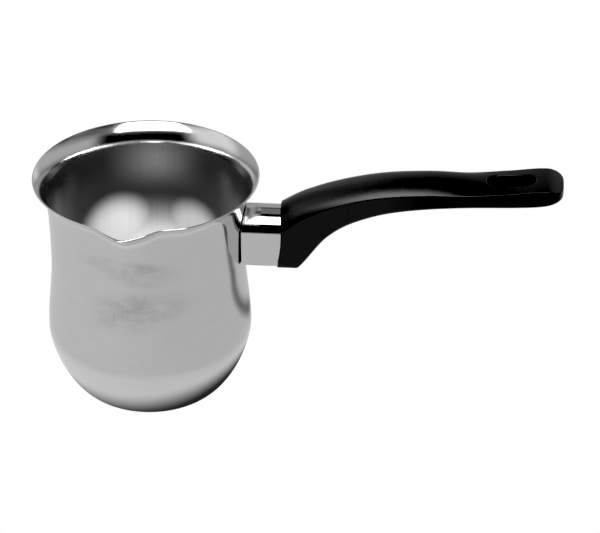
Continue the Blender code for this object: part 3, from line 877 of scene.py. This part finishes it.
# Overhead panels that only show after several reflections: bearings, and elevations with softness
OVERHEAD_BEARINGS = [(-140, -50), (60, 150)]
OVERHEAD_ELEVATIONS = (62, 82, 4)
OVERHEAD_SOFTNESS = 4
OVERHEAD_LIGHT = 0.5
FLOOR = 0.57                # brightness of the floor, like a light table
FLOOR_RADIUS = 3.0
# Shading painted into the floor's light, in millimetres from the pot's axis
SHADOW_CENTRE = (6, 5)
SHADOW_RADII = (35, 54)     # where the contact shadow is deepest, and where it ends
SHADOW_LIGHT = 0.06
GLOW_RADII = (55, 90)       # a brighter ring outside the contact shadow
GLOW_GAIN = 1.17
SIDE_REACH = 110            # from here on the left to here on the right the light falls
SIDE_GAINS = (1.13, 1.02)
HANDLE_SHADOW_LINE = (0.25, 80)     # slope of the handle's shadow, and its distance from the axis
HANDLE_SHADOW_WIDTH = (-8, 10, 9)
HANDLE_SHADOW_START = (45, 72)
HANDLE_SHADOW_DEPTH = 0.70
# Lamps that only light the satin inside: power in watts, and place
LAMPS = {"front_lamp": (3.3, (0.0, -0.36, 0.50)), "back_lamp": (1.155, (0.0, 0.36, 0.50))}
LAMP_SIZE = 0.3
BLACK = 0.02                # display level shown as black
# Camera fitted to the rim, the wall and the handle
CAMERA_PLACE = (0.1504, -1.0702, 0.7215)
CAMERA_LOOK = (-0.0653, 0.8495, -0.5236)
CAMERA_LENS = 169.0
SENSOR_WIDTH = 36.0


def white_when_seen(graph, light):
    """Plain white for what the camera sees directly, the light for everything else."""
    seen = graph.node("ShaderNodeLightPath").outputs["Is Camera Ray"]
    hidden = graph.math("SUBTRACT", 1.0, seen)
    return graph.math("ADD", seen, graph.math("MULTIPLY", hidden, light))


def make_world():
    """White to the camera; bright patches in a dark room to everything else."""
    world = bpy.data.worlds.new("studio")
    bpy.context.scene.world = world
    world.use_nodes = True
    graph = Graph(world.node_tree)
    direction = graph.node("ShaderNodeTexCoord").outputs["Generated"]
    x, y, z = graph.split(direction)
    bearing = graph.math("DEGREES", graph.math("ARCTAN2", x, graph.math("MULTIPLY", y, -1.0)))
    elevation = graph.math("DEGREES", graph.math("ARCSINE", z))
    light = graph.ramp(elevation, -3.0, 0.0, FLOOR, ROOM)
    for brightness, first, last, low, high, soft in STUDIO:
        patch = graph.math("MULTIPLY", graph.window(bearing, first, last, soft),
                           graph.window(elevation, low, high, soft))
        light = graph.math("MULTIPLY_ADD", patch, brightness, light)
    depth = graph.node("ShaderNodeLightPath").outputs["Ray Depth"]
    overhead = graph.math("MULTIPLY", graph.window(elevation, *OVERHEAD_ELEVATIONS),
                          graph.ramp(depth, 3.4, 3.6))
    for first, last in OVERHEAD_BEARINGS:
        panel = graph.math("MULTIPLY", graph.window(bearing, first, last, OVERHEAD_SOFTNESS), overhead)
        light = graph.math("MULTIPLY_ADD", panel, OVERHEAD_LIGHT, light)
    background = world.node_tree.nodes["Background"]
    graph.feed(background.inputs["Color"], (1.0, 1.0, 1.0, 1.0))
    graph.feed(background.inputs["Strength"], white_when_seen(graph, light))


def floor_light(graph):
    """Brightness of the floor, with the pot's contact shadow and the handle's shadow."""
    _, radius, _ = around_axis(graph)
    x, y, _ = graph.split(graph.position())
    from_shadow = graph.math("SQRT", graph.ellipse(x, y, SHADOW_CENTRE, (1.0, 1.0)))
    contact = graph.ramp(from_shadow, *SHADOW_RADII, SHADOW_LIGHT, 1.0)
    painted_glow = graph.ramp(radius, *GLOW_RADII, GLOW_GAIN, 1.0)
    fall = graph.ramp(x, -SIDE_REACH, SIDE_REACH, *SIDE_GAINS)
    slope, distance = HANDLE_SHADOW_LINE
    from_line = graph.math("MULTIPLY_ADD", x, slope, graph.math("SUBTRACT", y, distance))
    band = graph.math("MULTIPLY", graph.window(from_line, *HANDLE_SHADOW_WIDTH),
                      graph.ramp(x, *HANDLE_SHADOW_START))
    handle_shadow = graph.math("MULTIPLY_ADD", band, -HANDLE_SHADOW_DEPTH, 1.0)
    light = FLOOR
    for factor in (contact, painted_glow, fall, handle_shadow):
        light = graph.math("MULTIPLY", light, factor)
    return light


def floor_material():
    """Gives off the floor's light upwards, and is clear from below."""
    material = bpy.data.materials.new("floor")
    material.use_nodes = True
    tree = material.node_tree
    tree.nodes.remove(tree.nodes["Principled BSDF"])
    graph = Graph(tree)
    strength = white_when_seen(graph, floor_light(graph))
    emission = graph.node("ShaderNodeEmission", {"Strength": strength})
    clear = graph.node("ShaderNodeBsdfTransparent")
    behind = graph.node("ShaderNodeNewGeometry").outputs["Backfacing"]
    mix = graph.node("ShaderNodeMixShader", {"Fac": behind, 1: emission.outputs[0],
                                             2: clear.outputs[0]})
    graph.feed(tree.nodes["Material Output"].inputs["Surface"], mix.outputs[0])
    return material


def make_floor(steps=48):
    """A round floor just under the pot, part of the stage."""
    angles = [2 * pi * i / steps for i in range(steps)]
    mesh = bpy.data.meshes.new("floor")
    mesh.from_pydata(flat_ring(FLOOR_RADIUS, -GAP, angles), [], [tuple(range(steps))])
    mesh.materials.append(floor_material())
    floor = bpy.data.objects.new("floor", mesh)
    bpy.context.scene.collection.objects.link(floor)


def make_lamp(name, power, place):
    """A soft lamp, aimed into the pot, that leaves no mirror image in the steel."""
    lamp = bpy.data.lights.new(name, "AREA")
    lamp.energy = power
    lamp.size = LAMP_SIZE
    holder = bpy.data.objects.new(name, lamp)
    bpy.context.scene.collection.objects.link(holder)
    holder.visible_glossy = False
    holder.visible_camera = False
    holder.location = place
    aim = Vector((0.0, 0.0, NECK_HEIGHT)) - holder.location
    holder.rotation_euler = aim.to_track_quat("-Z", "Y").to_euler()


def make_camera():
    """The photograph's point of view."""
    camera = bpy.data.objects.new("camera", bpy.data.cameras.new("camera"))
    bpy.context.scene.collection.objects.link(camera)
    camera.data.sensor_width = SENSOR_WIDTH
    camera.data.lens = CAMERA_LENS
    camera.data.clip_start = 0.05
    camera.location = CAMERA_PLACE
    camera.rotation_mode = "QUATERNION"
    camera.rotation_quaternion = Vector(CAMERA_LOOK).to_track_quat("-Z", "Y")
    bpy.context.scene.camera = camera


def set_tone():
    """Plain display with the blacks pressed slightly, as in a studio catalogue picture."""
    settings = bpy.context.scene.view_settings
    settings.view_transform = "Standard"
    settings.use_curve_mapping = True
    settings.curve_mapping.black_level = (BLACK, BLACK, BLACK)
    settings.curve_mapping.update()


# ---------------------------------------------------------------- assembly

pot_finishes = {
    OUTSIDE: wall_steel(),
    INSIDE: bowl_steel(),
    LIP: mirror_steel("lip_steel", 0.05, 0.10, 0.0),
    BASE: base_steel(),
}
pot = new_piece("pot", pot_mesh(), [pot_finishes[place] for place in sorted(pot_finishes)])
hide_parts("pot_body")
sleeve_steel = mirror_steel("sleeve_steel", 0.01, 0.02, 0.18)
sleeve = new_piece("sleeve", ferrule_mesh(), [sleeve_steel], sharp=SLEEVE_SHARP_ANGLE)
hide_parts("ferrule")
grip = handle_piece([black_plastic()])
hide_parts("handle")

for name, (tone, roughness) in PLATED.items():
    cover(name, zinc_steel(name + "_steel", tone, roughness))

make_world()
make_floor()
for name, (power, place) in LAMPS.items():
    make_lamp(name, power, place)
make_camera()
set_tone()
